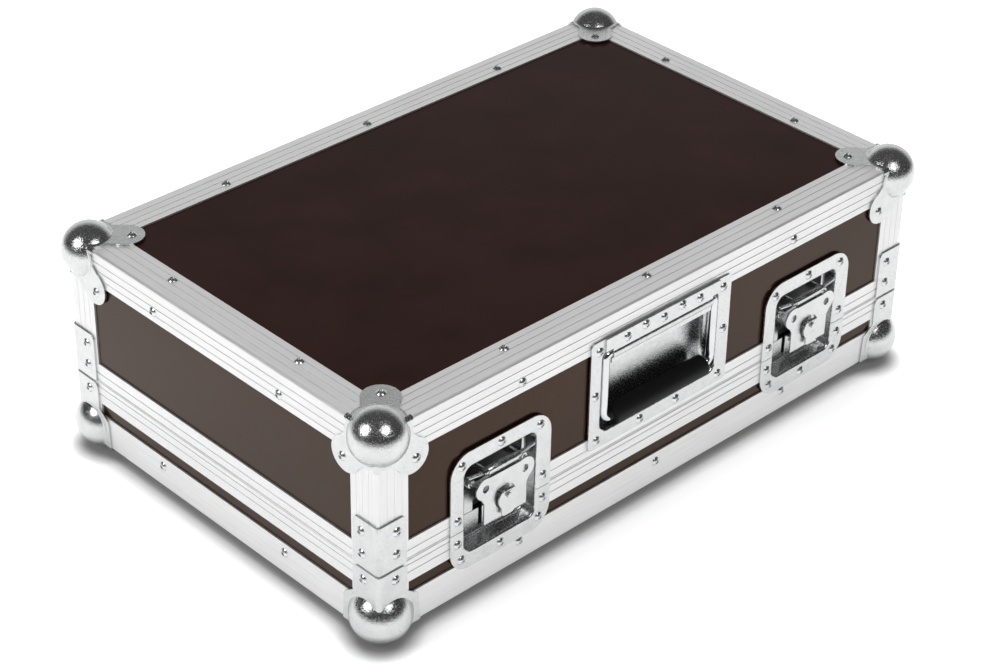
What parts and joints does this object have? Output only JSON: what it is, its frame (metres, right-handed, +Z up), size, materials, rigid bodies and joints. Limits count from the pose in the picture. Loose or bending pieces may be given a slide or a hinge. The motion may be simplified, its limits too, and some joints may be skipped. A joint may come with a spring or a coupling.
{
  "type": "mixer flight case",
  "caption": "Shallow base tray and deep hinged lid in film-faced plywood with aluminium edge rails, steel ball corners, recessed turn latches and a recessed bail handle.",
  "frame": {"origin": "on the floor, below the middle of the case over its ball corners", "axes": "+X to the right along the front, +Y to the hinged back, +Z up"},
  "size_m": [0.625, 0.3991, 0.2134],
  "materials": {
    "film_faced_ply": "dark brown phenolic film, satin",
    "satin_aluminium": "satin anodised, drawn grain along the rail",
    "zinc_plated_steel": "bright zinc plate",
    "rivet_steel": "plated blind rivets",
    "bright_chrome": "polished plate",
    "black_rubber": "smooth black grip",
    "black_foam": "dense open-cell foam"
  },
  "bodies": {
    "base": {"base_ball_front_left": "zinc_plated_steel", "base_ball_front_right": "zinc_plated_steel", "base_ball_rear_left": "zinc_plated_steel", "base_ball_rear_right": "zinc_plated_steel", "base_bottom_panel": "film_faced_ply", "base_closure": "satin_aluminium", "base_corner_posts": "satin_aluminium", "base_foam_bed": "black_foam", "base_foam_liners": "black_foam", "base_front_panel": "film_faced_ply", "base_front_rail": "satin_aluminium", "base_hinge_leaves": "zinc_plated_steel", "base_left_panel": "film_faced_ply", "base_left_rail": "satin_aluminium", "base_rear_panel": "film_faced_ply", "base_rear_rail": "satin_aluminium", "base_right_panel": "film_faced_ply", "base_right_rail": "satin_aluminium", "base_rivets": "rivet_steel", "hinge_pins": "bright_chrome", "latch_keepers": "zinc_plated_steel", "latch_left_lower_dish": "zinc_plated_steel", "latch_right_lower_dish": "zinc_plated_steel"},
    "lid": {"handle_axle_strip": "zinc_plated_steel", "handle_dish": "zinc_plated_steel", "latch_brackets": "zinc_plated_steel", "latch_hinge_pins": "bright_chrome", "latch_left_upper_dish": "zinc_plated_steel", "latch_right_upper_dish": "zinc_plated_steel", "lid_ball_front_left": "zinc_plated_steel", "lid_ball_front_right": "zinc_plated_steel", "lid_ball_rear_left": "zinc_plated_steel", "lid_ball_rear_right": "zinc_plated_steel", "lid_closure": "satin_aluminium", "lid_corner_braces": "zinc_plated_steel", "lid_corner_posts": "satin_aluminium", "lid_foam_liners": "black_foam", "lid_foam_pad": "black_foam", "lid_front_panel": "film_faced_ply", "lid_front_rail": "satin_aluminium", "lid_hinge_leaves": "zinc_plated_steel", "lid_left_panel": "film_faced_ply", "lid_left_rail": "satin_aluminium", "lid_rear_panel": "film_faced_ply", "lid_rear_rail": "satin_aluminium", "lid_right_panel": "film_faced_ply", "lid_right_rail": "satin_aluminium", "lid_rivets": "rivet_steel", "lid_top_panel": "film_faced_ply"},
    "handle": {"handle_bail": "bright_chrome", "handle_grip": "black_rubber"},
    "left_carrier": {"latch_left_carrier": "zinc_plated_steel"},
    "left_hook": {"latch_left_hook": "zinc_plated_steel"},
    "left_cam": {"latch_left_cam": "zinc_plated_steel"},
    "left_wing": {"latch_left_wing": "zinc_plated_steel"},
    "right_carrier": {"latch_right_carrier": "zinc_plated_steel"},
    "right_hook": {"latch_right_hook": "zinc_plated_steel"},
    "right_cam": {"latch_right_cam": "zinc_plated_steel"},
    "right_wing": {"latch_right_wing": "zinc_plated_steel"}
  },
  "joints": [
    {"name": "lid_hinge", "type": "hinge", "parent": "base", "child": "lid", "pos_m": [0, 0.192, 0.0737], "axis": [-1, 0, 0], "range_deg": [0, 100]},
    {"name": "handle_swing", "type": "hinge", "parent": "lid", "child": "handle", "pos_m": [-0.0025, -0.187, 0.1651], "axis": [-1, 0, 0], "range_deg": [0, 90]},
    {"name": "left_latch_swing", "type": "hinge", "parent": "lid", "child": "left_carrier", "pos_m": [-0.177, -0.189, 0.1177], "axis": [-1, 0, 0], "range_deg": [0, 70]},
    {"name": "left_latch_turn", "type": "hinge", "parent": "left_carrier", "child": "left_cam", "pos_m": [-0.177, -0.1944, 0.0897], "axis": [0, -1, 0], "range_deg": [0, 180]},
    {"name": "left_wing_fold", "type": "hinge", "parent": "left_cam", "child": "left_wing", "pos_m": [-0.177, -0.1969, 0.097], "axis": [-1, 0, 0], "range_deg": [0, 90]},
    {"name": "left_hook_slide", "type": "slide", "parent": "left_carrier", "child": "left_hook", "axis": [0, 0, -1], "range_m": [0, 0.0061]},
    {"name": "right_latch_swing", "type": "hinge", "parent": "lid", "child": "right_carrier", "pos_m": [0.177, -0.189, 0.1177], "axis": [-1, 0, 0], "range_deg": [0, 70]},
    {"name": "right_latch_turn", "type": "hinge", "parent": "right_carrier", "child": "right_cam", "pos_m": [0.177, -0.1944, 0.0897], "axis": [0, -1, 0], "range_deg": [0, 180]},
    {"name": "right_wing_fold", "type": "hinge", "parent": "right_cam", "child": "right_wing", "pos_m": [0.177, -0.1969, 0.097], "axis": [-1, 0, 0], "range_deg": [0, 90]},
    {"name": "right_hook_slide", "type": "slide", "parent": "right_carrier", "child": "right_hook", "axis": [0, 0, -1], "range_m": [0, 0.0061]}
  ],
  "couplings": [
    {"joint": "left_hook_slide", "follows": "left_latch_turn", "m_per_rad": 0.0019099},
    {"joint": "right_hook_slide", "follows": "right_latch_turn", "m_per_rad": 0.0019099}
  ]
}
